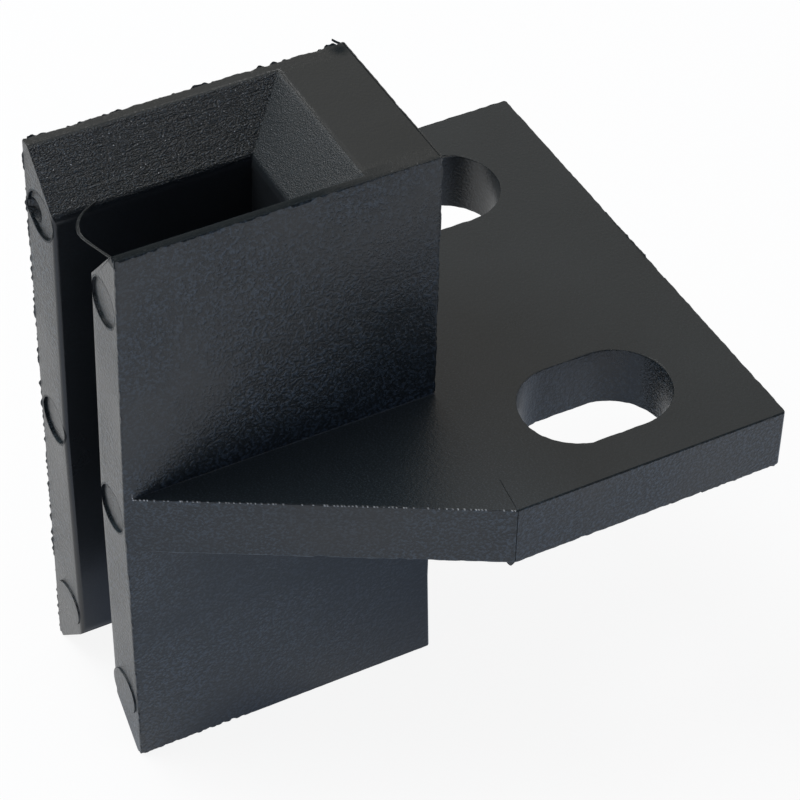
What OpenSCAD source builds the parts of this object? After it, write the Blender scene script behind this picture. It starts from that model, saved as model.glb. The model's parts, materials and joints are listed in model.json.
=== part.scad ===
// Sliding guide shoe for a lift, moulded in one piece from black engineering plastic.
// A tall channel block straddles the blade of a guide rail and rubs along it.
// A plate at the block's mid-height, with a sloping shoulder on each side, bolts it to the frame.
// +Z runs along the rail, -Y faces the rail, and the shoe stands on the lower end of its block.

/* [Rail and bolts] */
// Thickness of the rail blade that the shoe straddles
rail_blade = 9; // [5:0.5:16]
// Play between the blade and each flange
blade_play = 0.5; // [0.2:0.1:1]
// Thread diameter of the two fixing bolts
bolt_diameter = 12; // [8:1:14]
// Amount by which a bolt slot is wider than the bolt
bolt_play = 1.5; // [0.5:0.1:2]

/* [Channel block] */
// Height of the block along the rail
block_height = 80; // [60:0.5:140]
// Thickness of the flange on each side of the groove
flange = 7; // [5:0.25:12]
// Depth of the groove from the flange ends to its floor
groove_depth = 25; // [18:0.5:50]
// Thickness of the wall behind the groove
back_wall = 15.5; // [11:0.5:25]
// Radius on the block's four upright outer edges
block_edge = 0.3; // [0.2:0.1:1.5]
// Radius on the two flange ends where the blade goes in
mouth_radius = 0.6; // [0.2:0.1:2.5]

/* [Lead-in flares] */
// Height of the flare at each end of the groove
flare_height = 7; // [4:0.25:9]
// Flat rim that a flare leaves on the end of a flange
flare_rim = 1.1; // [0.6:0.1:2.5]
// How far a flare cuts back into the wall behind the groove
flare_back = 6.2; // [3:0.2:8]
// Radius where a flare runs into the groove
throat_radius = 2.5; // [0.5:0.1:4]
// Radius where a flare meets the rims on the flanges
rim_radius = 0.7; // [0.1:0.1:0.8]
// Radius where a flare meets the top of the back wall
lip_radius = 1.2; // [0.3:0.1:2]

/* [Fixing plate] */
// Thickness of the plate
plate_thickness = 8.5; // [5:0.25:14]
// Width of the plate across the bolts
plate_width = 67.5; // [60:0.5:100]
// How far the plate reaches behind the block
plate_reach = 35.5; // [30:0.5:60]
// Distance from the flange ends to the start of the sloping shoulders
shoulder_start = 0.8; // [0.6:0.1:10]
// Distance from the block's back face to the outer end of the shoulders
shoulder_end = 1; // [0:0.5:10]
// Radius on the plate's upright edges
plate_edge = 0.5; // [0.2:0.1:3]

/* [Bolt slots] */
// Distance between the middles of the two slots
slot_spacing = 42; // [38:0.5:44]
// Distance from the block's back face to the middle of the slots
slot_setback = 16.75; // [14:0.25:24]
// How far a bolt can be shifted along its slot
slot_travel = 6; // [2:0.5:10]

/* [Ejector marks] */
// Diameter of the round marks on the flange ends
mark_diameter = 6; // [3:0.25:7]
// Distance from a flange's outer side to the middle of its marks
mark_inset = 3.65; // [2.5:0.05:4]
// Distance between the marks along a flange
mark_spacing = 31.5; // [15:0.5:33]
// Depth of the sunk marks
mark_sunk = 0.35; // [0.2:0.05:1]
// Height of the raised marks at the lower end
mark_raised = 0.2; // [0.1:0.05:0.5]

/* [Hidden] */
$fn = 64;
// Overshoot of every cut past the face that it opens
cut = 1;
groove_width = rail_blade + 2 * blade_play;
block_width = groove_width + 2 * flange;
block_depth = groove_depth + back_wall;
plate_end = block_depth + plate_reach;
slot_width = bolt_diameter + bolt_play;
slot_y = block_depth + slot_setback;
mark_x = block_width / 2 - mark_inset;
// How deep a raised mark is rooted in its flange
mark_root = flange / 4;
mid_height = block_height / 2;
// Middle of the whole outline, from the raised marks to the plate's back edge
outline_middle = (plate_end - mark_raised) / 2;

// Direction from one point to another, of length 1
function heading(from, to) = (to - from) / norm(to - from);

// Sliver between a sharp corner and the arc that rounds it off, reaching out past the corner.
// The corner's two edges run towards the points along and across.
module corner_sliver(corner, along, across, radius) {
    a = heading(corner, along);
    b = heading(corner, across);
    half_angle = acos(a * b) / 2;
    reach = radius / tan(half_angle);
    inward = heading([0, 0], a + b);
    centre = corner + inward * radius / sin(half_angle);
    difference() {
        polygon([corner - inward * radius, corner + a * reach, centre, corner + b * reach]);
        translate(centre) circle(radius);
    }
}

// Outline whose corners run round it in order; a corner with a radius of 0 stays sharp
module rounded_outline(corners, radii) {
    last = len(corners) - 1;
    difference() {
        polygon(corners);
        for (i = [0 : last])
            if (radii[i] > 0)
                corner_sliver(
                    corners[i],
                    corners[i == 0 ? last : i - 1],
                    corners[i == last ? 0 : i + 1],
                    radii[i]
                );
    }
}

// One end of a flared wall, with the end face on y = 0 and the groove up from it.
// The wall stands at throat and opens out to mouth; edge rounds its outer lip.
module flare_end(throat, mouth, edge) {
    throat_corner = [throat, flare_height];
    mouth_corner = [mouth, 0];
    polygon([[0, -cut], [mouth, -cut], mouth_corner, throat_corner, [0, flare_height]]);
    corner_sliver(throat_corner, throat_corner + [0, 1], mouth_corner, throat_radius);
    corner_sliver(mouth_corner, throat_corner, mouth_corner + [1, 0], edge);
}

// Space from the groove's middle out to one wall, over the whole height
module flared_space(throat, mouth, edge) {
    translate([0, -cut]) square([throat, block_height + 2 * cut]);
    flare_end(throat, mouth, edge);
    translate([0, block_height]) mirror([0, 1]) flare_end(throat, mouth, edge);
}

// The groove: its section across the flanges, crossed with its section along the blade
module rail_groove() {
    intersection() {
        translate([0, plate_end, 0])
            rotate([90, 0, 0])
                linear_extrude(plate_end + cut)
                    for (side = [0, 1])
                        mirror([side, 0])
                            flared_space(groove_width / 2, block_width / 2 - flare_rim, rim_radius);
        rotate([90, 0, 90])
            linear_extrude(block_width, center = true) {
                flared_space(groove_depth, groove_depth + flare_back, lip_radius);
                translate([-cut, -cut]) square([2 * cut, block_height + 2 * cut]);
            }
    }
}

// The channel block with rounded upright edges and rounded mouth, before its groove is flared
module channel_block() {
    x = block_width / 2;
    groove_edge = groove_width / 2;
    linear_extrude(block_height)
        difference() {
            rounded_outline(
                [[-x, 0], [x, 0], [x, block_depth], [-x, block_depth]],
                [block_edge, block_edge, block_edge, block_edge]
            );
            for (side = [-1, 1]) {
                mouth = [side * groove_edge, 0];
                corner_sliver(mouth, mouth + [side, 0], mouth + [0, 1], mouth_radius);
            }
        }
}

// The plate with its sloping shoulders, level with the middle of the block.
// Its outline turns in at the block's sides, so that it stays out of the groove.
module fixing_plate() {
    x = plate_width / 2;
    side = block_width / 2;
    root = side - flange / 2;
    bend = block_depth - shoulder_end;
    right = [[root, bend], [root, shoulder_start], [side, shoulder_start], [x, bend], [x, plate_end]];
    left = [for (i = [len(right) - 1 : -1 : 0]) [-right[i][0], right[i][1]]];
    translate([0, 0, mid_height - plate_thickness / 2])
        linear_extrude(plate_thickness)
            rounded_outline(
                concat(right, left),
                [0, 0, 0, plate_edge, plate_edge, plate_edge, plate_edge, 0, 0, 0]
            );
}

// Long hole for one fixing bolt, running away from the block
module bolt_slot() {
    translate([0, 0, mid_height - plate_thickness / 2 - cut])
        linear_extrude(plate_thickness + 2 * cut) {
            square([slot_width, slot_travel], center = true);
            for (way = [-1, 1])
                translate([0, way * slot_travel / 2]) circle(d = slot_width);
        }
}

// Round disc on a flange end; its middle lies on the end face
module ejector_mark(height, from, to) {
    for (side = [-1, 1])
        translate([side * mark_x, from, height])
            rotate([-90, 0, 0]) cylinder(d = mark_diameter, h = to - from);
}

// The whole shoe
module guide_shoe() {
    color("#2c2e30")
        translate([0, -outline_middle, 0]) {
            difference() {
                union() {
                    channel_block();
                    fixing_plate();
                }
                rail_groove();
                for (side = [-1, 1])
                    translate([side * slot_spacing / 2, slot_y, 0]) bolt_slot();
                for (step = [0, 1])
                    ejector_mark(mid_height + step * mark_spacing, -cut, mark_sunk);
            }
            ejector_mark(mid_height - mark_spacing, -mark_raised, mark_root);
        }
}

guide_shoe();
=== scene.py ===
import json
import math

import bmesh
import bpy
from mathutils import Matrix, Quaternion, Vector, noise
from mathutils.kdtree import KDTree

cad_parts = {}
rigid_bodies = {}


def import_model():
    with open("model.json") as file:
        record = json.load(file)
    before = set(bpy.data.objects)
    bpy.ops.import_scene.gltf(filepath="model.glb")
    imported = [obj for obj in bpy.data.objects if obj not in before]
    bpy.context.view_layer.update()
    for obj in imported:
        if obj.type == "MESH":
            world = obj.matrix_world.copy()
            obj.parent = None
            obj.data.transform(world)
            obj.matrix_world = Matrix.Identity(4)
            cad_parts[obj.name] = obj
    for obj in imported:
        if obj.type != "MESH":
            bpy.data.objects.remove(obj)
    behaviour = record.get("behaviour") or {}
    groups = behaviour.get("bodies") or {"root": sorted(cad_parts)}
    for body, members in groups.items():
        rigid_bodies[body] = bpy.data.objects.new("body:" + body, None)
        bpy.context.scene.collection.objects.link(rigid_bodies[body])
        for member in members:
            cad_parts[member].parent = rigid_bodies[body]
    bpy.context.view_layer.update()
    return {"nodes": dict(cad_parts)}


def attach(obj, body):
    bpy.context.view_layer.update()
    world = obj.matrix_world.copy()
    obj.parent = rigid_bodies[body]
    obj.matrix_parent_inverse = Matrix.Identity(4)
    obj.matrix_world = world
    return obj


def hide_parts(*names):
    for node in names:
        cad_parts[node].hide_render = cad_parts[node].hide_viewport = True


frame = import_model()


# The shoe is one injection moulding in black glass-filled nylon: a channel block that rides on the
# rail and a shouldered fixing plate, with a small fillet between the two. Its edges leave the mould
# barely broken and are then nibbled by wear, and the whole moulding has warped a little.
CREST_LEVELS_MM = (0.0, 80.0)
PLATE_LEVELS_MM = (35.75, 44.25)
BROKEN_LEVELS_MM = CREST_LEVELS_MM + PLATE_LEVELS_MM
SHARP_TURN = math.radians(40)
MERGE_WITHIN = 0.00002
FLAT_WITHIN = math.radians(0.4)
FACE_SPLITS = (
    ((0, 0.0193, 0), (0, 1, 0)),
    ((0, 0, 0.0402), (0, 0, 1)),
    ((0, 0, 0.013), (0, 0, 1)))
INSIDE_FILLET = 0.0002
EDGE_BREAK = 0.0002
EDGE_STEP = 0.0005

# The block's plain form, and how far this moulding departs from it.
HALF_WIDTH = 0.012
FLANGE = 0.007
GROOVE_FLOOR = -0.0129
GROOVE_DEPTH = 0.025
BACK_WALL = 0.0155
MID_HEIGHT = 0.0402
FLARE = 0.007
UPPER_THROAT = 0.073
END_LEAN = 0.0005
HEEL_HEIGHT = 0.013
HEEL_LEAN = 0.0005
CORE_REACH = 0.0115
FAR_CORE_SHIFT = 0.0004
NEAR_CORE_SHIFT = 0.00005
LOWER_FLARE = 0.0057
FLARE_BACK_END = -0.0065
RIM_START = 0.0108
RIM_FADE = 0.001
LOW_MARK = Vector((0.00835, 0, 0.0085))
LOW_MARK_RADIUS = 0.00306

# Wear as a multiple of the plain edge break. The noises that draw it count waves per metre.
MEAN_WEAR = 0.9
LEAST_WEAR = 0.4
MOST_WEAR = 2.9
TIGHT_BEND = 0.00022
TIGHT_WEAR = 0.9
NIBBLES = 1100
NIBBLE_SHARE = 0.9
WAVES = 200
WAVE_SHARE = 0.4
WAVE_SEED = Vector((5, 2, 9))
BITES = 420
BITE_SEED = Vector((1, 8, 4))
BITE_LEVEL = 0.45
BITE_WEAR = 0.9
CREST_END = 0.002
FAR_CREST_WEAR = 1.9
NEAR_CREST_WEAR = 2.5
CALM_SHARE = 0.25
CHIPS = 1500
CHIP_WEAR = 2.6
CHIP_MEAN = 0.3
CHIP_SHARE = 1.5
CHIPPED_FROM = -0.022
CHIPPED_OVER = 0.004
NICK_AT = -0.0151
NICK_REACH = 0.0013
NICK_WEAR = 3.4


def level_edges(mesh, levels, convex):
    """The level edges at these heights in millimetres that turn outwards, or inwards."""
    found = []
    for edge in mesh.edges:
        first, second = (round(corner.co.z * 1000, 2) for corner in edge.verts)
        if first == second and first in levels and edge.is_manifold:
            if edge.is_convex == convex and edge.calc_face_angle() > SHARP_TURN:
                found.append(edge)
    return found


def warped(place):
    """Where a point of the plain form lies in this moulding, with its lean, shift and low flare."""
    ahead = min(max((GROOVE_FLOOR - place.y) / GROOVE_DEPTH, 0), 1)
    inward = min(max((place.x + HALF_WIDTH) / FLANGE, 0), 1)
    behind = min(max((place.y - GROOVE_FLOOR) / BACK_WALL, 0), 1)
    lean = END_LEAN * ahead * inward * abs(place.z - MID_HEIGHT) / MID_HEIGHT
    lean += HEEL_LEAN * behind * max(HEEL_HEIGHT - place.z, 0) / HEEL_HEIGHT
    aside = 0
    if abs(place.x) < CORE_REACH:
        core_shift = FAR_CORE_SHIFT if place.x < 0 else NEAR_CORE_SHIFT
        aside = core_shift * max(place.z - UPPER_THROAT, 0) / FLARE
    drop = 0
    on_mark = (Vector((abs(place.x), 0, place.z)) - LOW_MARK).length < LOW_MARK_RADIUS
    if place.y < FLARE_BACK_END and not on_mark:
        share = min(place.z, 2 * FLARE - place.z) / FLARE
        within = min(max((RIM_START - abs(place.x)) / RIM_FADE, 0), 1)
        drop = (FLARE - LOWER_FLARE) * max(share, 0) * within
    return place + Vector((aside, lean, -drop))


bpy.ops.object.select_all(action="DESELECT")
cad_shoe = frame["nodes"]["guide_shoe"]
cad_shoe.select_set(True)
bpy.context.view_layer.objects.active = cad_shoe
bpy.ops.object.duplicate()
shoe = bpy.context.active_object
shoe.name = "moulded_shoe"
bpy.ops.object.parent_clear(type="CLEAR_KEEP_TRANSFORM")
bpy.ops.object.mode_set(mode="EDIT")
bpy.ops.mesh.select_all(action="SELECT")
bpy.ops.mesh.customdata_custom_splitnormals_clear()
bpy.ops.mesh.remove_doubles(threshold=MERGE_WITHIN)
for cut_place, cut_normal in FACE_SPLITS:
    bpy.ops.mesh.select_all(action="SELECT")
    bpy.ops.mesh.bisect(plane_co=cut_place, plane_no=cut_normal)
    bpy.ops.mesh.mark_seam()
bpy.ops.mesh.select_all(action="SELECT")
bpy.ops.mesh.dissolve_limited(angle_limit=FLAT_WITHIN, delimit={"SEAM"})

bpy.ops.mesh.select_all(action="DESELECT")
shoe_mesh = bmesh.from_edit_mesh(shoe.data)
for edge in level_edges(shoe_mesh, PLATE_LEVELS_MM, False):
    edge.select_set(True)
bmesh.update_edit_mesh(shoe.data)
bpy.ops.mesh.bevel(offset=INSIDE_FILLET, segments=2, affect="EDGES", clamp_overlap=False)

# The outer edges are cut into short steps before they are broken, so that wear can follow them.
bpy.ops.mesh.select_all(action="DESELECT")
shoe_mesh = bmesh.from_edit_mesh(shoe.data)
long_edges = level_edges(shoe_mesh, BROKEN_LEVELS_MM, True)
while long_edges:
    for edge in long_edges:
        bmesh.utils.edge_split(edge, edge.verts[0], 0.5)
    outer_edges = level_edges(shoe_mesh, BROKEN_LEVELS_MM, True)
    long_edges = [edge for edge in outer_edges if edge.calc_length() > EDGE_STEP]
corners = {}
for edge in level_edges(shoe_mesh, BROKEN_LEVELS_MM, True):
    edge.select_set(True)
    for corner in edge.verts:
        corners[corner] = min(corners.get(corner, 1.0), edge.calc_length())
sharp_places = KDTree(len(corners))
spacing = []
for corner, shortest in corners.items():
    sharp_places.insert(corner.co, len(spacing))
    spacing.append(shortest)
sharp_places.balance()
bmesh.update_edit_mesh(shoe.data)
bpy.ops.mesh.bevel(offset=EDGE_BREAK, segments=2, affect="EDGES", clamp_overlap=False)
shoe_mesh = bmesh.from_edit_mesh(shoe.data)
for corner in shoe_mesh.verts:
    if not corner.select:
        continue
    sharp, number, distance = sharp_places.find(corner.co)
    if distance > 2 * EDGE_BREAK:
        continue
    on_near_side = sharp.x > HALF_WIDTH - EDGE_BREAK
    nibble = noise.noise(sharp * NIBBLES)
    wave = noise.noise(sharp * WAVES + WAVE_SEED)
    wear = MEAN_WEAR + NIBBLE_SHARE * nibble + WAVE_SHARE * wave
    if round(sharp.z * 1000, 2) in CREST_LEVELS_MM and sharp.y < CREST_END:
        if sharp.x < 0:
            wear *= FAR_CREST_WEAR
        elif sharp.z > MID_HEIGHT:
            wear *= NEAR_CREST_WEAR
        else:
            wear = MEAN_WEAR + CALM_SHARE * nibble
    if noise.noise(sharp * BITES + BITE_SEED) > BITE_LEVEL and sharp.z > EDGE_BREAK:
        wear += BITE_WEAR
    most = TIGHT_WEAR if spacing[number] < TIGHT_BEND else MOST_WEAR
    wear = min(max(wear, LEAST_WEAR), most)
    if sharp.z < EDGE_BREAK and on_near_side:
        chipped = min(max((CHIPPED_FROM - sharp.y) / CHIPPED_OVER, 0), 1)
        chip = max(CHIP_MEAN + CHIP_SHARE * noise.noise(sharp * CHIPS), 0)
        wear += chipped * CHIP_WEAR * chip
    if sharp.z > UPPER_THROAT and on_near_side and abs(sharp.y - NICK_AT) < NICK_REACH:
        wear = NICK_WEAR
    corner.co = sharp + (corner.co - sharp) * wear
for corner in shoe_mesh.verts:
    corner.co = warped(corner.co)
bmesh.update_edit_mesh(shoe.data)
bpy.ops.object.mode_set(mode="OBJECT")

# Small marks that the mould has left in the shoe's skin: a round dish beside the far upper ejector
# mark, a gutter on the block's back upper edge, and two parting lines at the plate's near corner.
# A score runs from start to end, in millimetres, with the way it faces, its width and its depth.
DISH_MIDDLE = Vector((-0.0101, -0.0375, 0.071))
DISH_RADIUS = 0.00155
DISH_DEPTH = 0.0011
SCORES = (
    ((-11.7, 2.3, 80), (11.7, 2.3, 80), (0, 0, 1), 0.12, 0.14),
    ((28.4, 2.2, 44.25), (34.1, 1.5, 44.25), (0, 0, 1), 0.1, 0.08),
    ((33.72, 1.6, 35), (33.72, 1.6, 45), (0.967, -0.253, 0), 0.12, 0.12))
ball_radius = (DISH_RADIUS ** 2 + DISH_DEPTH ** 2) / (2 * DISH_DEPTH)
ball_middle = DISH_MIDDLE - Vector((0, ball_radius - DISH_DEPTH, 0))
bpy.ops.object.select_all(action="DESELECT")
bpy.ops.mesh.primitive_uv_sphere_add(
    segments=96, ring_count=64, radius=ball_radius, location=ball_middle)
cutters = [bpy.context.active_object]
for start, end, outward, width, depth in SCORES:
    bpy.ops.object.select_all(action="DESELECT")
    bpy.ops.mesh.primitive_cube_add(size=2)
    score = bpy.context.active_object
    start, end, outward = Vector(start), Vector(end), Vector(outward)
    across = (end - start).cross(outward).normalized()
    for corner in score.data.vertices:
        along, aside, rise = corner.co
        place = (end if along > 0 else start) + across * aside * width / 2
        corner.co = (place + outward * (depth if rise > 0 else -depth)) / 1000
    cutters.append(score)
for cutter in cutters:
    bpy.ops.object.select_all(action="DESELECT")
    cutter.select_set(True)
    bpy.context.view_layer.objects.active = cutter
    bpy.ops.object.mode_set(mode="EDIT")
    bpy.ops.mesh.select_all(action="SELECT")
    bpy.ops.mesh.normals_make_consistent(inside=False)
    bpy.ops.object.mode_set(mode="OBJECT")
    bpy.ops.object.select_all(action="DESELECT")
    shoe.select_set(True)
    bpy.context.view_layer.objects.active = shoe
    bpy.ops.object.modifier_add(type="BOOLEAN")
    shoe.modifiers["Boolean"].object = cutter
    shoe.modifiers["Boolean"].operation = "DIFFERENCE"
    shoe.modifiers["Boolean"].solver = "EXACT"
    bpy.ops.object.modifier_apply(modifier="Boolean")
    bpy.data.objects.remove(cutter)

# Flash: thin nylon that was squeezed out between the mould's halves and slides. A strand of it is
# left across the groove, two hairs stand at the block's back corners, and ragged fins run along
# the edges where the mould parts. All of it is of one piece with the shoe. Sizes in millimetres.
STRAND_PATH = (
    (-6.3, -31.4, 73.9), (-5.9, -31.6, 73.7), (-5.5, -32.1, 73.55), (-5.1, -32.9, 73.5),
    (-4.6, -33.9, 73.5), (-3.8, -34.8, 73.5), (-3.1, -35.3, 73.5), (-2.4, -35.65, 73.5),
    (-1.3, -35.95, 73.5), (-0.3, -35.9, 73.5), (0.9, -35.55, 73.5), (2.3, -35.1, 73.5),
    (3.8, -34.6, 73.5), (5.1, -34.1, 73.5), (6.2, -33.6, 73.6))
STRAND_WIDTHS = (
    0.4, 0.34, 0.26, 0.28, 0.3, 0.36, 0.42, 0.44, 0.4, 0.34, 0.3, 0.28, 0.28, 0.28, 0.3)
STRAND_THICKNESS = 0.28
FAR_HAIR = (
    (-11.5, 2.4, 79.6), (-11.9, 2.2, 79.7), (-12.3, 2.0, 79.72), (-12.7, 1.75, 79.75),
    (-13.1, 1.6, 79.78))
FAR_HAIR_WIDTHS = (0.5, 0.42, 0.32, 0.3, 0.2)
FAR_HAIR_THICKNESS = 0.28
NEAR_HAIR = (
    (11.7, 2.3, 79.6), (11.8, 2.8, 79.7), (11.9, 3.3, 79.75), (12.0, 3.8, 79.7),
    (12.05, 4.2, 79.6))
NEAR_HAIR_WIDTHS = (0.4, 0.3, 0.26, 0.22, 0.12)
NEAR_HAIR_THICKNESS = 0.2
STRAND_SIDES = 12
STRAND_RADIUS = 0.0005
STRAND_STEP = 0.001
STRAND_GRAIN = 0.00004
STRAND_GRAINS = 5000
STRAND_SEED = 1
# Each fin runs from start to end, with the way it stands, its greatest height and its fullness.
FINS = (
    ((-11.9, -37.3, 79.55), (-11.9, 2.2, 79.55), (-0.78, 0, 0.62), 0.6, 0.45),
    ((-11.85, -37.8, 0.8), (-11.85, -37.8, 79.2), (-0.64, -0.77, 0), 0.36, 0.15),
    ((11.8, -37.78, 0.8), (11.8, -37.78, 79.2), (0.98, -0.2, 0), 0.46, 0.3),
    ((33.62, 27.0, 35.85), (33.62, 37.6, 35.85), (0, 0, -1), 0.4, 0.3),
    ((2.0, 37.95, 44.15), (-8.0, 37.95, 44.15), (0, 0, 1), 0.45, 0.35),
    ((33.0, 0.75, 35.85), (33.65, 1.9, 35.85), (0, 0, -1), 0.9, 0.4),
    ((11.9, 2.5, 44.4), (11.9, 2.5, 79.5), (0.26, 0.96, 0), 0.16, 0.6))
FIN_STEP = 0.22
FIN_ROOT = 0.3
FIN_END = -0.02
FIN_THICKNESS = 0.00014
FINE_TEARS = 1.4
FINE_TEAR_SHARE = 0.8
FINE_TEAR_SEED = 7
LONG_TEARS = 0.4
LONG_TEAR_SHARE = 0.6
LONG_TEAR_SEED = 3
DEEPEST_TEAR = -0.1
SMOOTH_WITHIN = math.radians(32)


def drawn_strand(path, widths, thickness):
    """A flat strand drawn out along a path, all in millimetres."""
    points = [Vector(point) / 1000 for point in path]
    last = len(points) - 1
    bpy.ops.object.select_all(action="DESELECT")
    bpy.ops.mesh.primitive_circle_add(
        vertices=STRAND_SIDES, radius=STRAND_RADIUS, fill_type="NGON",
        rotation=(math.pi / 2, 0, 0))
    strand = bpy.context.active_object
    bpy.ops.object.transform_apply(location=True, rotation=True, scale=True)
    bpy.ops.object.mode_set(mode="EDIT")
    for _ in points[1:]:
        bpy.ops.mesh.extrude_region_move(TRANSFORM_OT_translate={"value": (0, STRAND_STEP, 0)})
    mesh = bmesh.from_edit_mesh(strand.data)
    for corner in mesh.verts:
        i = min(max(round(corner.co.y / STRAND_STEP), 0), last)
        ahead = (points[min(i + 1, last)] - points[max(i - 1, 0)]).normalized()
        aside = ahead.cross(Vector((0, 0, 1))).normalized()
        flat_place = points[i] + aside * corner.co.x * widths[i]
        place = flat_place + aside.cross(ahead) * corner.co.z * thickness
        corner.co = place + noise.noise_vector(place * STRAND_GRAINS) * STRAND_GRAIN
    bmesh.update_edit_mesh(strand.data)
    bpy.ops.mesh.select_all(action="SELECT")
    bpy.ops.mesh.normals_make_consistent(inside=False)
    bpy.ops.object.mode_set(mode="OBJECT")
    return strand


def ragged_fin(start, end, outward, tallest, fullness):
    """A thin fin with a torn edge that stands along a straight edge, in millimetres."""
    start, end, outward = Vector(start), Vector(end), Vector(outward)
    steps = max(3, round((end - start).length / FIN_STEP))
    bpy.ops.object.select_all(action="DESELECT")
    bpy.ops.mesh.primitive_grid_add(x_subdivisions=steps, y_subdivisions=1, size=2)
    fin = bpy.context.active_object
    for corner in fin.data.vertices:
        share = (corner.co.x + 1) / 2
        place = start.lerp(end, share)
        fine_tear = noise.noise(place * FINE_TEARS + outward * FINE_TEAR_SEED)
        long_tear = noise.noise(place * LONG_TEARS + outward * LONG_TEAR_SEED)
        torn = fullness + FINE_TEAR_SHARE * fine_tear + LONG_TEAR_SHARE * long_tear
        height = min(max(torn, DEEPEST_TEAR), 1) * tallest
        if share in (0, 1):
            height = FIN_END
        if corner.co.y < 0:
            height = -FIN_ROOT
        corner.co = warped((place + outward * height) / 1000)
    bpy.ops.object.modifier_add(type="SOLIDIFY")
    fin.modifiers["Solidify"].thickness = FIN_THICKNESS
    fin.modifiers["Solidify"].offset = 0
    bpy.ops.object.modifier_apply(modifier="Solidify")
    return fin


noise.seed_set(STRAND_SEED)
flash = [
    drawn_strand(STRAND_PATH, STRAND_WIDTHS, STRAND_THICKNESS),
    drawn_strand(FAR_HAIR, FAR_HAIR_WIDTHS, FAR_HAIR_THICKNESS),
    drawn_strand(NEAR_HAIR, NEAR_HAIR_WIDTHS, NEAR_HAIR_THICKNESS)]
flash += [ragged_fin(*fin) for fin in FINS]
bpy.ops.object.select_all(action="DESELECT")
for piece in flash:
    piece.select_set(True)
shoe.select_set(True)
bpy.context.view_layer.objects.active = shoe
bpy.ops.object.join()
bpy.ops.object.shade_smooth_by_angle(angle=SMOOTH_WITHIN)
bpy.ops.object.modifier_add(type="WEIGHTED_NORMAL")
shoe.modifiers["WeightedNormal"].weight = 100
shoe.modifiers["WeightedNormal"].keep_sharp = True
bpy.ops.object.modifier_apply(modifier="WeightedNormal")


def linear(hex_colour):
    """An sRGB hex colour as linear red, green, blue and alpha."""
    parts = [int(hex_colour[i:i + 2], 16) / 255 for i in (1, 3, 5)]
    levels = (c / 12.92 if c <= 0.04045 else ((c + 0.055) / 1.055) ** 2.4 for c in parts)
    return (*levels, 1.0)


def add_node(tree, kind, inputs=None, **settings):
    """A new node with its settings, its plain values and the sockets that feed it."""
    made = tree.nodes.new(kind)
    for name, value in settings.items():
        setattr(made, name, value)
    for socket, value in (inputs or {}).items():
        if isinstance(value, bpy.types.NodeSocket):
            tree.links.new(value, made.inputs[socket])
        else:
            made.inputs[socket].default_value = value
    return made


# Glass-filled nylon 6, moulded against spark-eroded steel: nearly black, with a satin skin that
# turns pale at a glancing angle, a fine pebble on the upright faces and wrinkles on the flares.
# The glints are painted highlights of glass at the surface, drawn far coarser than the fibres so
# that they show.
PEBBLE = 0.00038
WRINKLE_LENGTH = 0.00026
WRINKLE_HEIGHT = 0.00015
RIPPLE_LENGTH = 0.003
RIPPLE_HEIGHT = 0.0003
PATCH = 0.016
GLINT_SPACING = 0.0004
DASH_SPACING = 0.00036
SKIN_RELIEF = 0.0003
NYLON_IOR = 1.5
nylon = bpy.data.materials.new("glass_filled_nylon")
nylon.use_nodes = True
tree = nylon.node_tree
skin = tree.nodes["Principled BSDF"]
skin.inputs["IOR"].default_value = NYLON_IOR
coords = add_node(tree, "ShaderNodeTexCoord")
place = coords.outputs["Object"]
spread = add_node(tree, "ShaderNodeSeparateXYZ", {0: place})
across, along, up = spread.outputs["X"], spread.outputs["Y"], spread.outputs["Z"]
aside = add_node(tree, "ShaderNodeMath", {0: across}, operation="ABSOLUTE").outputs[0]

# Which way the skin faces: upright, level, or sloping as on the flares.
facing = add_node(tree, "ShaderNodeSeparateXYZ", {0: coords.outputs["Normal"]})
tilt = add_node(
    tree, "ShaderNodeMath", {0: facing.outputs["Z"]}, operation="ABSOLUTE").outputs[0]
turn = add_node(
    tree, "ShaderNodeMath", {0: facing.outputs["X"]}, operation="ABSOLUTE").outputs[0]
upright = add_node(
    tree, "ShaderNodeMapRange",
    {"Value": tilt, "From Min": 0.3, "From Max": 0.55, "To Min": 1.0, "To Max": 0.0}).outputs[0]
level = add_node(
    tree, "ShaderNodeMapRange",
    {"Value": tilt, "From Min": 0.85, "From Max": 0.97, "To Min": 0.0, "To Max": 1.0}).outputs[0]
either = add_node(tree, "ShaderNodeMath", {0: upright, 1: level}, operation="ADD").outputs[0]
sloping = add_node(
    tree, "ShaderNodeMath", {0: 1.0, 1: either}, operation="SUBTRACT", use_clamp=True).outputs[0]
side_slope = add_node(
    tree, "ShaderNodeMath", {0: sloping, 1: turn}, operation="MULTIPLY").outputs[0]
back_slope = add_node(
    tree, "ShaderNodeMath", {0: sloping, 1: side_slope},
    operation="SUBTRACT", use_clamp=True).outputs[0]

# The patterns of the skin.
patches = add_node(
    tree, "ShaderNodeTexNoise",
    {"Vector": place, "Scale": 1 / PATCH, "Detail": 2.0, "Roughness": 0.55}).outputs["Fac"]
pebble = add_node(
    tree, "ShaderNodeTexNoise",
    {"Vector": place, "Scale": 1 / PEBBLE, "Detail": 2.5, "Roughness": 0.6}).outputs["Fac"]
wrinkle_scale = (1 / WRINKLE_HEIGHT, 1 / WRINKLE_LENGTH, 1 / WRINKLE_HEIGHT)
flattened = add_node(
    tree, "ShaderNodeMapping", {"Vector": place, "Scale": wrinkle_scale}).outputs[0]
wrinkle = add_node(
    tree, "ShaderNodeTexNoise",
    {"Vector": flattened, "Scale": 1.0, "Detail": 2.0, "Roughness": 0.55}).outputs["Fac"]
ripple_scale = (1 / RIPPLE_HEIGHT, 1 / RIPPLE_LENGTH, 1 / RIPPLE_HEIGHT)
drawn_out = add_node(
    tree, "ShaderNodeMapping", {"Vector": place, "Scale": ripple_scale}).outputs[0]
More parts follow.
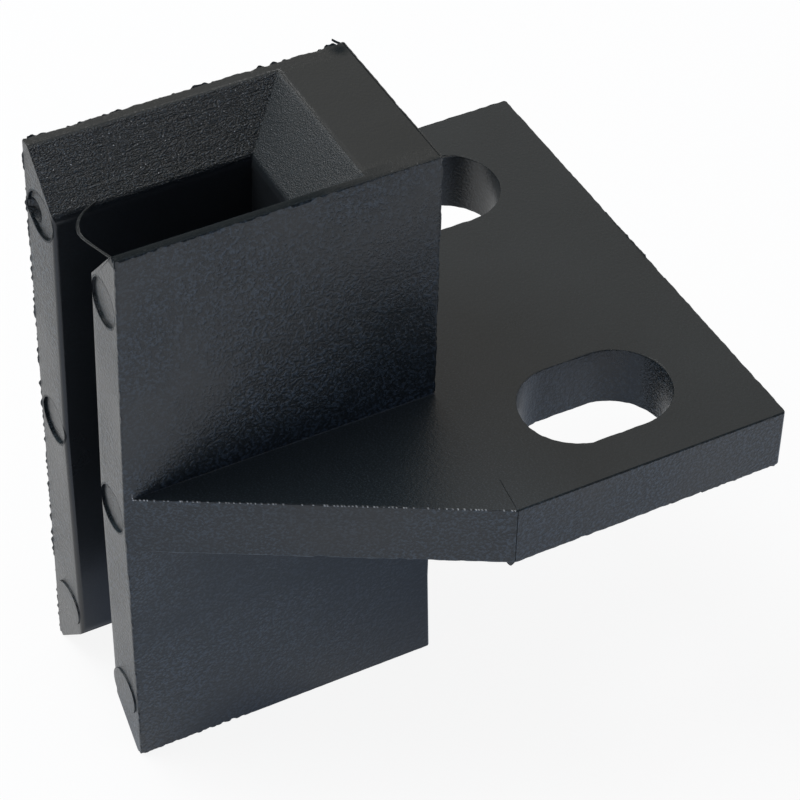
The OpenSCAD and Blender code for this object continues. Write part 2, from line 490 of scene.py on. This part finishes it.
ripple = add_node(
    tree, "ShaderNodeTexNoise",
    {"Vector": drawn_out, "Scale": 1.0, "Detail": 1.0, "Roughness": 0.5}).outputs["Fac"]

# How deep the pebble is. It is faint where the mould is smoother: on the groove's walls, on the
# walls of the far slot, and towards the back of the block's lower half.
GROOVE_WALL = 0.0052
FLANGE_END = 0.0062
GROOVE_GRAIN = 0.12
GROOVE_BACK = -0.0125
POLISHED_FROM = -0.032
POLISHED_TO = 0.0
MOST_POLISH = 0.6
PLATE_UNDERSIDE = 0.0357
FAR_SLOT = Vector((-0.021, 0.01935, 0))
SLOT_WALL = 0.0105
PAST_SLOT = 0.0115
SLOT_GRAIN = 0.3
RIM_SIDE = 0.0095
RIM_LEVEL = 0.0788
LEVEL_GRAIN = 0.16
RIM_GRAIN = 0.12
SLOPE_GRAIN = 0.12
UPRIGHT_GRAIN = 0.6
patch_depth = add_node(
    tree, "ShaderNodeMapRange",
    {"Value": patches, "From Min": 0.35, "From Max": 0.65,
     "To Min": 0.35, "To Max": 1.0}).outputs[0]
beside_groove = add_node(
    tree, "ShaderNodeMapRange",
    {"Value": aside, "From Min": GROOVE_WALL, "From Max": FLANGE_END,
     "To Min": GROOVE_GRAIN, "To Max": 1.0}).outputs[0]
behind_groove = add_node(
    tree, "ShaderNodeMath", {0: along, 1: GROOVE_BACK}, operation="GREATER_THAN").outputs[0]
outside = add_node(
    tree, "ShaderNodeMath", {0: beside_groove, 1: behind_groove}, operation="MAXIMUM").outputs[0]
rough_skin = add_node(
    tree, "ShaderNodeMath", {0: upright, 1: outside}, operation="MULTIPLY").outputs[0]
polish = add_node(
    tree, "ShaderNodeMapRange",
    {"Value": along, "From Min": POLISHED_FROM, "From Max": POLISHED_TO,
     "To Min": 0.0, "To Max": MOST_POLISH}).outputs[0]
below_plate = add_node(
    tree, "ShaderNodeMath", {0: up, 1: PLATE_UNDERSIDE}, operation="LESS_THAN").outputs[0]
polished = add_node(
    tree, "ShaderNodeMath", {0: polish, 1: below_plate}, operation="MULTIPLY").outputs[0]
unpolished = add_node(
    tree, "ShaderNodeMath", {0: 1.0, 1: polished}, operation="SUBTRACT").outputs[0]
plan = add_node(
    tree, "ShaderNodeVectorMath", {0: place, 1: (1, 1, 0)}, operation="MULTIPLY").outputs[0]
from_slot = add_node(
    tree, "ShaderNodeVectorMath", {0: plan, 1: FAR_SLOT}, operation="DISTANCE").outputs["Value"]
slot_grain = add_node(
    tree, "ShaderNodeMapRange",
    {"Value": from_slot, "From Min": SLOT_WALL, "From Max": PAST_SLOT,
     "To Min": SLOT_GRAIN, "To Max": 1.0}).outputs[0]
skin_grain = add_node(
    tree, "ShaderNodeMath", {0: rough_skin, 1: slot_grain}, operation="MULTIPLY").outputs[0]
grain_left = add_node(
    tree, "ShaderNodeMath", {0: skin_grain, 1: unpolished}, operation="MULTIPLY").outputs[0]
upright_depth = add_node(
    tree, "ShaderNodeMath", {0: grain_left, 1: patch_depth}, operation="MULTIPLY").outputs[0]
by_rim = add_node(
    tree, "ShaderNodeMath", {0: aside, 1: RIM_SIDE}, operation="GREATER_THAN").outputs[0]
at_crest = add_node(
    tree, "ShaderNodeMath", {0: up, 1: RIM_LEVEL}, operation="GREATER_THAN").outputs[0]
rim = add_node(tree, "ShaderNodeMath", {0: by_rim, 1: at_crest}, operation="MULTIPLY").outputs[0]
rim_depth = add_node(
    tree, "ShaderNodeMath", {0: rim, 1: RIM_GRAIN, 2: LEVEL_GRAIN},
    operation="MULTIPLY_ADD").outputs[0]
level_depth = add_node(
    tree, "ShaderNodeMath", {0: rim_depth, 1: level}, operation="MULTIPLY").outputs[0]
soft_depth = add_node(
    tree, "ShaderNodeMath", {0: sloping, 1: SLOPE_GRAIN, 2: level_depth},
    operation="MULTIPLY_ADD").outputs[0]
pebble_depth = add_node(
    tree, "ShaderNodeMath", {0: upright_depth, 1: UPRIGHT_GRAIN, 2: soft_depth},
    operation="MULTIPLY_ADD").outputs[0]

# The relief: pebble everywhere, wrinkles and long ripples on the flares.
SLOPE_WRINKLE = 0.6
SIDE_WRINKLE = 1.0
SIDE_RIPPLE = 0.9
pebble_height = add_node(
    tree, "ShaderNodeMath", {0: pebble, 1: pebble_depth}, operation="MULTIPLY").outputs[0]
slope_depth = add_node(
    tree, "ShaderNodeMath", {0: sloping, 1: SLOPE_WRINKLE}, operation="MULTIPLY").outputs[0]
wrinkle_depth = add_node(
    tree, "ShaderNodeMath", {0: side_slope, 1: SIDE_WRINKLE, 2: slope_depth},
    operation="MULTIPLY_ADD").outputs[0]
wrinkle_height = add_node(
    tree, "ShaderNodeMath", {0: wrinkle, 1: wrinkle_depth}, operation="MULTIPLY").outputs[0]
ripple_depth = add_node(
    tree, "ShaderNodeMath", {0: side_slope, 1: SIDE_RIPPLE}, operation="MULTIPLY").outputs[0]
ripple_height = add_node(
    tree, "ShaderNodeMath", {0: ripple, 1: ripple_depth}, operation="MULTIPLY").outputs[0]
flare_height = add_node(
    tree, "ShaderNodeMath", {0: wrinkle_height, 1: ripple_height}, operation="ADD").outputs[0]
height = add_node(
    tree, "ShaderNodeMath", {0: pebble_height, 1: flare_height}, operation="ADD").outputs[0]
bump = add_node(
    tree, "ShaderNodeBump", {"Height": height, "Strength": 1.0, "Distance": SKIN_RELIEF})
tree.links.new(bump.outputs["Normal"], skin.inputs["Normal"])

# Painted glints: highlights of glass on the flares, painted into the colour, each in its own cell.
GLINTING_FROM = 0.78
glint_cells = add_node(
    tree, "ShaderNodeTexVoronoi", {"Vector": place, "Scale": 1 / GLINT_SPACING}, feature="F1")
glint_dots = add_node(
    tree, "ShaderNodeMapRange",
    {"Value": glint_cells.outputs["Distance"], "From Min": 0.1, "From Max": 0.2,
     "To Min": 1.0, "To Max": 0.0}).outputs[0]
glint_draw = add_node(
    tree, "ShaderNodeSeparateColor", {0: glint_cells.outputs["Color"]}).outputs[0]
glint_some = add_node(
    tree, "ShaderNodeMath", {0: glint_draw, 1: GLINTING_FROM}, operation="GREATER_THAN").outputs[0]
glint_here = add_node(
    tree, "ShaderNodeMath", {0: glint_dots, 1: glint_some}, operation="MULTIPLY").outputs[0]
flare_glint = add_node(
    tree, "ShaderNodeMath", {0: glint_here, 1: side_slope}, operation="MULTIPLY").outputs[0]

# Bright dashes where the shoulder's upper arris is rubbed through, with painted glints: the dashes
# are partly wear and partly painted highlight, in a near-white colour.
SHOULDER_NORMAL = Vector((0.872, -0.49))
SHOULDER_PLANE = 0.02864
ARRIS = 0.00014
PLATE_CREST = 0.0441
ABOVE_PLATE = 0.045
DASHED_FROM = 0.35
to_side = add_node(
    tree, "ShaderNodeMath", {0: aside, 1: SHOULDER_NORMAL.x}, operation="MULTIPLY").outputs[0]
shoulder_out = add_node(
    tree, "ShaderNodeMath", {0: along, 1: SHOULDER_NORMAL.y, 2: to_side},
    operation="MULTIPLY_ADD").outputs[0]
at_shoulder = add_node(
    tree, "ShaderNodeMath", {0: shoulder_out, 1: SHOULDER_PLANE - ARRIS},
    operation="GREATER_THAN").outputs[0]
at_top = add_node(
    tree, "ShaderNodeMath", {0: up, 1: PLATE_CREST}, operation="GREATER_THAN").outputs[0]
on_plate = add_node(
    tree, "ShaderNodeMath", {0: up, 1: ABOVE_PLATE}, operation="LESS_THAN").outputs[0]
at_arris = add_node(
    tree, "ShaderNodeMath", {0: at_shoulder, 1: at_top}, operation="MULTIPLY").outputs[0]
on_arris = add_node(
    tree, "ShaderNodeMath", {0: at_arris, 1: on_plate}, operation="MULTIPLY").outputs[0]
dash_cells = add_node(
    tree, "ShaderNodeTexVoronoi", {"W": along, "Scale": 1 / DASH_SPACING}, voronoi_dimensions="1D")
dash_draw = add_node(
    tree, "ShaderNodeSeparateColor", {0: dash_cells.outputs["Color"]}).outputs[0]
dash_some = add_node(
    tree, "ShaderNodeMath", {0: dash_draw, 1: DASHED_FROM}, operation="GREATER_THAN").outputs[0]
dash_shape = add_node(
    tree, "ShaderNodeMapRange",
    {"Value": dash_cells.outputs["Distance"], "From Min": 0.1, "From Max": 0.35,
     "To Min": 1.0, "To Max": 0.0}).outputs[0]
dash_drawn = add_node(
    tree, "ShaderNodeMath", {0: dash_shape, 1: dash_some}, operation="MULTIPLY").outputs[0]
dashes = add_node(
    tree, "ShaderNodeMath", {0: dash_drawn, 1: dash_draw}, operation="MULTIPLY").outputs[0]
dashes_here = add_node(
    tree, "ShaderNodeMath", {0: dashes, 1: on_arris}, operation="MULTIPLY").outputs[0]

# Colour: darker and lighter patches, paler crests of the pebble and the wrinkles, a shade more on
# the shoulders beside the block, a paler tone painted on the back flare for the light that falls on
# it, a painted highlight along the shoulder's lower arris, rubbed dashes with painted glints on its
# upper arris, and painted glints on the flares.
GROOVE_SHARE = 0.8
BLOCK_BACK = 0.0
PAST_BLOCK = 0.012
SHOULDER_GRAIN = 0.42
PLATE_GRAIN = 0.1
BLOCK_MIDDLE = 0.06
BACK_FLARE_GRAIN_AND_LIGHT = 0.25
LOWER_ARRIS_FROM = 0.0355
LOWER_ARRIS_TO = 0.0360
# Where the painted highlight along the shoulder's lower arris begins.
LOWER_HIGHLIGHT_FROM = -0.0365
LOWER_HIGHLIGHT_TO = -0.033
tone = add_node(
    tree, "ShaderNodeMix", {"Factor": patches, "A": linear("#12181b"), "B": linear("#181f23")},
    data_type="RGBA").outputs["Result"]
between = add_node(
    tree, "ShaderNodeMapRange",
    {"Value": outside, "From Min": GROOVE_GRAIN, "From Max": 1.0,
     "To Min": GROOVE_SHARE, "To Max": 0.0}).outputs[0]
inside = add_node(
    tree, "ShaderNodeMath", {0: between, 1: upright}, operation="MULTIPLY").outputs[0]
wall_tone = add_node(
    tree, "ShaderNodeMix", {"Factor": inside, "A": tone, "B": linear("#212428")},
    data_type="RGBA").outputs["Result"]
pebble_crest = add_node(
    tree, "ShaderNodeMapRange", {"Value": pebble, "From Min": 0.48, "From Max": 0.62}).outputs[0]
pebble_share = add_node(
    tree, "ShaderNodeMath", {0: pebble_crest, 1: upright_depth}, operation="MULTIPLY").outputs[0]
skin_tone = add_node(
    tree, "ShaderNodeMix", {"Factor": pebble_share, "A": wall_tone, "B": linear("#38444f")},
    data_type="RGBA").outputs["Result"]
wrinkle_crest = add_node(
    tree, "ShaderNodeMapRange", {"Value": wrinkle, "From Min": 0.5, "From Max": 0.66}).outputs[0]
by_block = add_node(
    tree, "ShaderNodeMapRange",
    {"Value": along, "From Min": BLOCK_BACK, "From Max": PAST_BLOCK,
     "To Min": SHOULDER_GRAIN, "To Max": PLATE_GRAIN}).outputs[0]
below_top = add_node(
    tree, "ShaderNodeMath", {0: up, 1: BLOCK_MIDDLE}, operation="LESS_THAN").outputs[0]
level_here = add_node(
    tree, "ShaderNodeMath", {0: level, 1: below_top}, operation="MULTIPLY").outputs[0]
flare_grain = add_node(
    tree, "ShaderNodeMath", {0: back_slope, 1: BACK_FLARE_GRAIN_AND_LIGHT, 2: side_slope},
    operation="MULTIPLY_ADD").outputs[0]
grain_depth = add_node(
    tree, "ShaderNodeMath", {0: level_here, 1: by_block, 2: flare_grain},
    operation="MULTIPLY_ADD").outputs[0]
wrinkle_share = add_node(
    tree, "ShaderNodeMath", {0: wrinkle_crest, 1: grain_depth}, operation="MULTIPLY").outputs[0]
# The back flare is painted a paler tone for the light that falls on it, as well as having its
# wrinkle crests.
back_flare_painted_light = add_node(
    tree, "ShaderNodeMath", {0: back_slope, 1: BACK_FLARE_GRAIN_AND_LIGHT}, operation="MULTIPLY").outputs[0]
shoulder_share = add_node(
    tree, "ShaderNodeMath", {0: level_here, 1: by_block, 2: back_flare_painted_light},
    operation="MULTIPLY_ADD").outputs[0]
shoulder_tone = add_node(
    tree, "ShaderNodeMix", {"Factor": shoulder_share, "A": skin_tone, "B": linear("#2a343b")},
    data_type="RGBA").outputs["Result"]
flare_tone = add_node(
    tree, "ShaderNodeMix", {"Factor": wrinkle_share, "A": shoulder_tone, "B": linear("#48545f")},
    data_type="RGBA").outputs["Result"]
at_underside = add_node(
    tree, "ShaderNodeMapRange",
    {"Value": up, "From Min": PLATE_UNDERSIDE, "From Max": LOWER_ARRIS_TO,
     "To Min": 1.0, "To Max": 0.0}).outputs[0]
above_underside = add_node(
    tree, "ShaderNodeMath", {0: up, 1: LOWER_ARRIS_FROM}, operation="GREATER_THAN").outputs[0]
lower_arris = add_node(
    tree, "ShaderNodeMath", {0: at_underside, 1: above_underside}, operation="MULTIPLY").outputs[0]
behind_end = add_node(
    tree, "ShaderNodeMapRange",
    {"Value": along, "From Min": LOWER_HIGHLIGHT_FROM, "From Max": LOWER_HIGHLIGHT_TO}).outputs[0]
shoulder_arris = add_node(
    tree, "ShaderNodeMath", {0: lower_arris, 1: at_shoulder}, operation="MULTIPLY").outputs[0]
# A painted highlight: a thin pale line along the shoulder's lower arris.
lower_highlight = add_node(
    tree, "ShaderNodeMath", {0: shoulder_arris, 1: behind_end}, operation="MULTIPLY").outputs[0]
lower_highlight_tone = add_node(
    tree, "ShaderNodeMix", {"Factor": lower_highlight, "A": flare_tone, "B": linear("#626b74")},
    data_type="RGBA").outputs["Result"]
# The arris dashes: rubbed wear with painted glints, in a near-white colour.
worn_and_glinting_tone = add_node(
    tree, "ShaderNodeMix", {"Factor": dashes_here, "A": lower_highlight_tone, "B": linear("#c4cad0")},
    data_type="RGBA").outputs["Result"]
# The flare glints are painted highlights, a pale colour in the skin.
colour = add_node(
    tree, "ShaderNodeMix", {"Factor": flare_glint, "A": worn_and_glinting_tone, "B": linear("#c9ced4")},
    data_type="RGBA").outputs["Result"]
tree.links.new(colour, skin.inputs["Base Color"])
gloss = add_node(
    tree, "ShaderNodeMapRange",
    {"Value": patches, "From Min": 0.3, "From Max": 0.7, "To Min": 0.27, "To Max": 0.34}).outputs[0]
tree.links.new(gloss, skin.inputs["Roughness"])

# Where the sheen is gone: the scuffed near rim, the flash of the far side, a smudge on the far back
# corner, the plate's side arris, and the fine lines round the sunk ejector marks.
NEAR_RIM_FROM = 0.0102
NEAR_RIM_TO = 0.01192
SCUFFED_TO = -0.013
SCUFF_END = -0.002
FAR_FLASH = -0.01195
FLANGE_FRONT = -0.0374
SMUDGE = Vector((-0.0108, 0.0014, 0.08))
SMUDGE_MIDDLE = 0.0004
SMUDGE_REACH = 0.0016
PLATE_SIDE = 0.03355
UPPER_MARK = Vector((0.00835, 0, 0.0715))
MIDDLE_MARK = Vector((0.00835, 0, 0.04))
MARK_RADIUS = 0.0031
MARK_LINE = 0.00014
FULL_SHEEN = 0.5
DULL_SHEEN = 0.08
near_side = add_node(
    tree, "ShaderNodeMath", {0: across, 1: NEAR_RIM_FROM}, operation="GREATER_THAN").outputs[0]
within_side = add_node(
    tree, "ShaderNodeMath", {0: aside, 1: NEAR_RIM_TO}, operation="LESS_THAN").outputs[0]
near_block = add_node(
    tree, "ShaderNodeMath", {0: near_side, 1: within_side}, operation="MULTIPLY").outputs[0]
ahead_of_wall = add_node(
    tree, "ShaderNodeMapRange",
    {"Value": along, "From Min": SCUFFED_TO, "From Max": SCUFF_END,
     "To Min": 1.0, "To Max": 0.0}).outputs[0]
scuffed_rim = add_node(
    tree, "ShaderNodeMath", {0: near_block, 1: at_crest}, operation="MULTIPLY").outputs[0]
scuffed = add_node(
    tree, "ShaderNodeMath", {0: scuffed_rim, 1: ahead_of_wall}, operation="MULTIPLY").outputs[0]
far_flash = add_node(
    tree, "ShaderNodeMath", {0: across, 1: FAR_FLASH}, operation="LESS_THAN").outputs[0]
on_front = add_node(
    tree, "ShaderNodeMath", {0: along, 1: FLANGE_FRONT}, operation="LESS_THAN").outputs[0]
by_crest = add_node(
    tree, "ShaderNodeMath", {0: at_crest, 1: on_front}, operation="MAXIMUM").outputs[0]
flash_on_block = add_node(
    tree, "ShaderNodeMath", {0: far_flash, 1: by_crest}, operation="MULTIPLY").outputs[0]
dull_block = add_node(
    tree, "ShaderNodeMath", {0: scuffed, 1: flash_on_block}, operation="MAXIMUM").outputs[0]
from_smudge = add_node(
    tree, "ShaderNodeVectorMath", {0: place, 1: SMUDGE}, operation="DISTANCE").outputs["Value"]
smudge = add_node(
    tree, "ShaderNodeMapRange",
    {"Value": from_smudge, "From Min": SMUDGE_MIDDLE, "From Max": SMUDGE_REACH,
     "To Min": 1.0, "To Max": 0.0}).outputs[0]
at_plate_side = add_node(
    tree, "ShaderNodeMath", {0: aside, 1: PLATE_SIDE}, operation="GREATER_THAN").outputs[0]
side_arris = add_node(
    tree, "ShaderNodeMath", {0: at_plate_side, 1: at_top}, operation="MULTIPLY").outputs[0]
face_place = add_node(tree, "ShaderNodeCombineXYZ", {0: aside, 2: up}).outputs[0]
to_upper = add_node(
    tree, "ShaderNodeVectorMath", {0: face_place, 1: UPPER_MARK},
    operation="DISTANCE").outputs["Value"]
to_middle = add_node(
    tree, "ShaderNodeVectorMath", {0: face_place, 1: MIDDLE_MARK},
    operation="DISTANCE").outputs["Value"]
to_mark = add_node(
    tree, "ShaderNodeMath", {0: to_upper, 1: to_middle}, operation="MINIMUM").outputs[0]
mark_ring = add_node(
    tree, "ShaderNodeMath", {0: to_mark, 1: MARK_RADIUS, 2: MARK_LINE},
    operation="COMPARE").outputs[0]
mark_line = add_node(
    tree, "ShaderNodeMath", {0: mark_ring, 1: on_front}, operation="MULTIPLY").outputs[0]
dull_lines = add_node(
    tree, "ShaderNodeMath", {0: side_arris, 1: mark_line}, operation="MAXIMUM").outputs[0]
dull_spots = add_node(
    tree, "ShaderNodeMath", {0: smudge, 1: dull_lines}, operation="MAXIMUM").outputs[0]
dull = add_node(
    tree, "ShaderNodeMath", {0: dull_block, 1: dull_spots}, operation="MAXIMUM").outputs[0]
sheen = add_node(
    tree, "ShaderNodeMapRange",
    {"Value": dull, "To Min": FULL_SHEEN, "To Max": DULL_SHEEN}).outputs[0]
tree.links.new(sheen, skin.inputs["Specular IOR Level"])
shoe.data.materials.clear()
shoe.data.materials.append(nylon)
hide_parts("guide_shoe")
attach(shoe, "root")


# A plain pale floor of matt white paper under the shoe. It is white to the eye and in reflections,
# where it is shaded under the plate and in the groove, and it keeps the shoe's soft shadow.
FLOOR_SIZE = 6.0
SEEN_GLOW = 0.9
MIRRORED_GLOW = 0.95
UNDER_PLATE = Vector((0.025, 0.02, 0.0))
PLATE_SHADE = 0.75
PLATE_SHADE_FROM = 0.012
PLATE_SHADE_TO = 0.046
IN_GROOVE = Vector((0.001, -0.022, 0.0))
GROOVE_SHADE = 0.9
GROOVE_SHADE_FROM = 0.01
GROOVE_SHADE_TO = 0.019
COOL_FROM = 0.0
COOL_TO = 0.03
CLEAR_FROM = 0.042
CLEAR_TO = 0.055
bpy.ops.object.select_all(action="DESELECT")
bpy.ops.mesh.primitive_plane_add(size=FLOOR_SIZE, location=(0.0, 0.0, 0.0))
floor = bpy.context.active_object
floor.name = "studio_floor"
paper = bpy.data.materials.new("white_paper")
paper.use_nodes = True
tree = paper.node_tree
tree.nodes.remove(tree.nodes["Principled BSDF"])
path = add_node(tree, "ShaderNodeLightPath")
mirrored = add_node(
    tree, "ShaderNodeMath",
    {0: path.outputs["Is Glossy Ray"], 1: path.outputs["Is Transmission Ray"]}).outputs[0]
mirrored_share = add_node(
    tree, "ShaderNodeMath", {0: mirrored, 1: MIRRORED_GLOW}, operation="MULTIPLY").outputs[0]
share = add_node(
    tree, "ShaderNodeMath", {0: path.outputs["Is Camera Ray"], 1: SEEN_GLOW, 2: mirrored_share},
    operation="MULTIPLY_ADD").outputs[0]
floor_place = add_node(tree, "ShaderNodeTexCoord").outputs["Object"]
from_plate = add_node(
    tree, "ShaderNodeVectorMath", {0: floor_place, 1: UNDER_PLATE},
    operation="DISTANCE").outputs["Value"]
under_plate = add_node(
    tree, "ShaderNodeMapRange",
    {"Value": from_plate, "From Min": PLATE_SHADE_FROM, "From Max": PLATE_SHADE_TO,
     "To Min": PLATE_SHADE, "To Max": 0.0}).outputs[0]
from_groove = add_node(
    tree, "ShaderNodeVectorMath", {0: floor_place, 1: IN_GROOVE},
    operation="DISTANCE").outputs["Value"]
in_groove = add_node(
    tree, "ShaderNodeMapRange",
    {"Value": from_groove, "From Min": GROOVE_SHADE_FROM, "From Max": GROOVE_SHADE_TO,
     "To Min": GROOVE_SHADE, "To Max": 0.0}).outputs[0]
shaded = add_node(
    tree, "ShaderNodeMath", {0: under_plate, 1: in_groove}, operation="MAXIMUM").outputs[0]
spot = add_node(tree, "ShaderNodeSeparateXYZ", {0: floor_place})
rightward = add_node(
    tree, "ShaderNodeMapRange",
    {"Value": spot.outputs["X"], "From Min": COOL_FROM, "From Max": COOL_TO}).outputs[0]
beyond = add_node(
    tree, "ShaderNodeMapRange",
    {"Value": spot.outputs["X"], "From Min": CLEAR_FROM, "From Max": CLEAR_TO}).outputs[0]
right_shade = add_node(
    tree, "ShaderNodeMix", {"Factor": beyond, "A": linear("#c5d3e8"), "B": linear("#f0f4fc")},
    data_type="RGBA").outputs["Result"]
open_shade = add_node(
    tree, "ShaderNodeMix", {"Factor": rightward, "A": linear("#ffffff"), "B": right_shade},
    data_type="RGBA").outputs["Result"]
shade = add_node(
    tree, "ShaderNodeMix", {"Factor": shaded, "A": open_shade, "B": linear("#93a3bd")},
    data_type="RGBA").outputs["Result"]
tint = add_node(
    tree, "ShaderNodeMix",
    {"Factor": path.outputs["Is Camera Ray"], "A": shade, "B": linear("#ffffff")},
    data_type="RGBA").outputs["Result"]
matt = add_node(tree, "ShaderNodeBsdfDiffuse", {"Color": linear("#f0f3f8")})
glow = add_node(tree, "ShaderNodeEmission", {"Color": tint, "Strength": 1.0})
mixed = add_node(
    tree, "ShaderNodeMixShader", {0: share, 1: matt.outputs[0], 2: glow.outputs[0]})
tree.links.new(mixed.outputs[0], tree.nodes["Material Output"].inputs["Surface"])
floor.data.materials.append(paper)


# Soft studio light: a white surround that is dim only on the camera's side and cooler to the right,
# a large soft lamp above and a second one low at the left front.
DIM_SIDE = Vector((0.66, -0.36, 0.66))
DIM_FROM = 0.65
DIM_TO = 0.95
SURROUND_STRENGTH = 0.56
DIM_STRENGTH = 0.12
COOL_SKY_FROM = 0.2
COOL_SKY_TO = 0.7
LAMP_PLACE = Vector((-0.35, -0.25, 0.9))
LAMP_TARGET = Vector((0, 0, 0.03))
LAMP_SIZE = 0.7
LAMP_WATTS = 6.0
SIDE_LAMP_PLACE = Vector((-0.75, -0.8, 0.48))
SIDE_LAMP_TARGET = Vector((0, 0, 0.06))
SIDE_LAMP_SIZE = 1.1
SIDE_LAMP_WATTS = 3.6
world = bpy.data.worlds.new("white_surround")
bpy.context.scene.world = world
world.use_nodes = True
tree = world.node_tree
backdrop = tree.nodes["Background"]
path = add_node(tree, "ShaderNodeLightPath")
seen = add_node(
    tree, "ShaderNodeMath",
    {0: path.outputs["Is Camera Ray"], 1: path.outputs["Is Transmission Ray"]}).outputs[0]
sight = add_node(tree, "ShaderNodeTexCoord").outputs["Generated"]
toward_dim = add_node(
    tree, "ShaderNodeVectorMath", {0: sight, 1: DIM_SIDE}, operation="DOT_PRODUCT").outputs["Value"]
unseen_strength = add_node(
    tree, "ShaderNodeMapRange",
    {"Value": toward_dim, "From Min": DIM_FROM, "From Max": DIM_TO,
     "To Min": SURROUND_STRENGTH, "To Max": DIM_STRENGTH}).outputs[0]
strength = add_node(
    tree, "ShaderNodeMapRange",
    {"Value": seen, "From Min": 0.0, "From Max": 1.0,
     "To Min": unseen_strength, "To Max": 1.0}).outputs["Result"]
sight_parts = add_node(tree, "ShaderNodeSeparateXYZ", {0: sight})
to_right = add_node(
    tree, "ShaderNodeMapRange",
    {"Value": sight_parts.outputs["X"], "From Min": COOL_SKY_FROM,
     "From Max": COOL_SKY_TO}).outputs[0]
sky = add_node(
    tree, "ShaderNodeMix", {"Factor": to_right, "A": linear("#fff8ee"), "B": linear("#c4d8ff")},
    data_type="RGBA").outputs["Result"]
sky_seen = add_node(
    tree, "ShaderNodeMix", {"Factor": seen, "A": sky, "B": linear("#ffffff")},
    data_type="RGBA").outputs["Result"]
tree.links.new(sky_seen, backdrop.inputs["Color"])
tree.links.new(strength, backdrop.inputs["Strength"])

bpy.ops.object.light_add(type="AREA", location=LAMP_PLACE)
lamp = bpy.context.active_object
lamp.data.shape = "DISK"
lamp.data.size = LAMP_SIZE
lamp.data.energy = LAMP_WATTS
lamp.rotation_euler = (LAMP_TARGET - LAMP_PLACE).to_track_quat("-Z", "Y").to_euler()
bpy.ops.object.light_add(type="AREA", location=SIDE_LAMP_PLACE)
side_lamp = bpy.context.active_object
side_lamp.data.size = SIDE_LAMP_SIZE
side_lamp.data.energy = SIDE_LAMP_WATTS
side_lamp.rotation_euler = (
    SIDE_LAMP_TARGET - SIDE_LAMP_PLACE).to_track_quat("-Z", "Y").to_euler()


# The camera stands where the photograph was taken from: high, in front and to the right.
CAMERA_PLACE = Vector((0.25421, -0.13696, 0.30262))
CAMERA_TARGET = Vector((0.00439, 0.00211, 0.03701))
CAMERA_ROLL = 1.467
CAMERA_LENS_MM = 144.4
CAMERA_SENSOR_MM = 36.0
CAMERA_NEAR = 0.01
aim = (CAMERA_TARGET - CAMERA_PLACE).to_track_quat("-Z", "Y")
aim = aim @ Quaternion((0, 0, 1), math.radians(CAMERA_ROLL))
bpy.ops.object.camera_add(location=CAMERA_PLACE, rotation=aim.to_euler())
camera = bpy.context.active_object
camera.data.sensor_width = CAMERA_SENSOR_MM
camera.data.lens = CAMERA_LENS_MM
camera.data.clip_start = CAMERA_NEAR
bpy.context.scene.camera = camera
bpy.context.scene.view_settings.view_transform = "Standard"
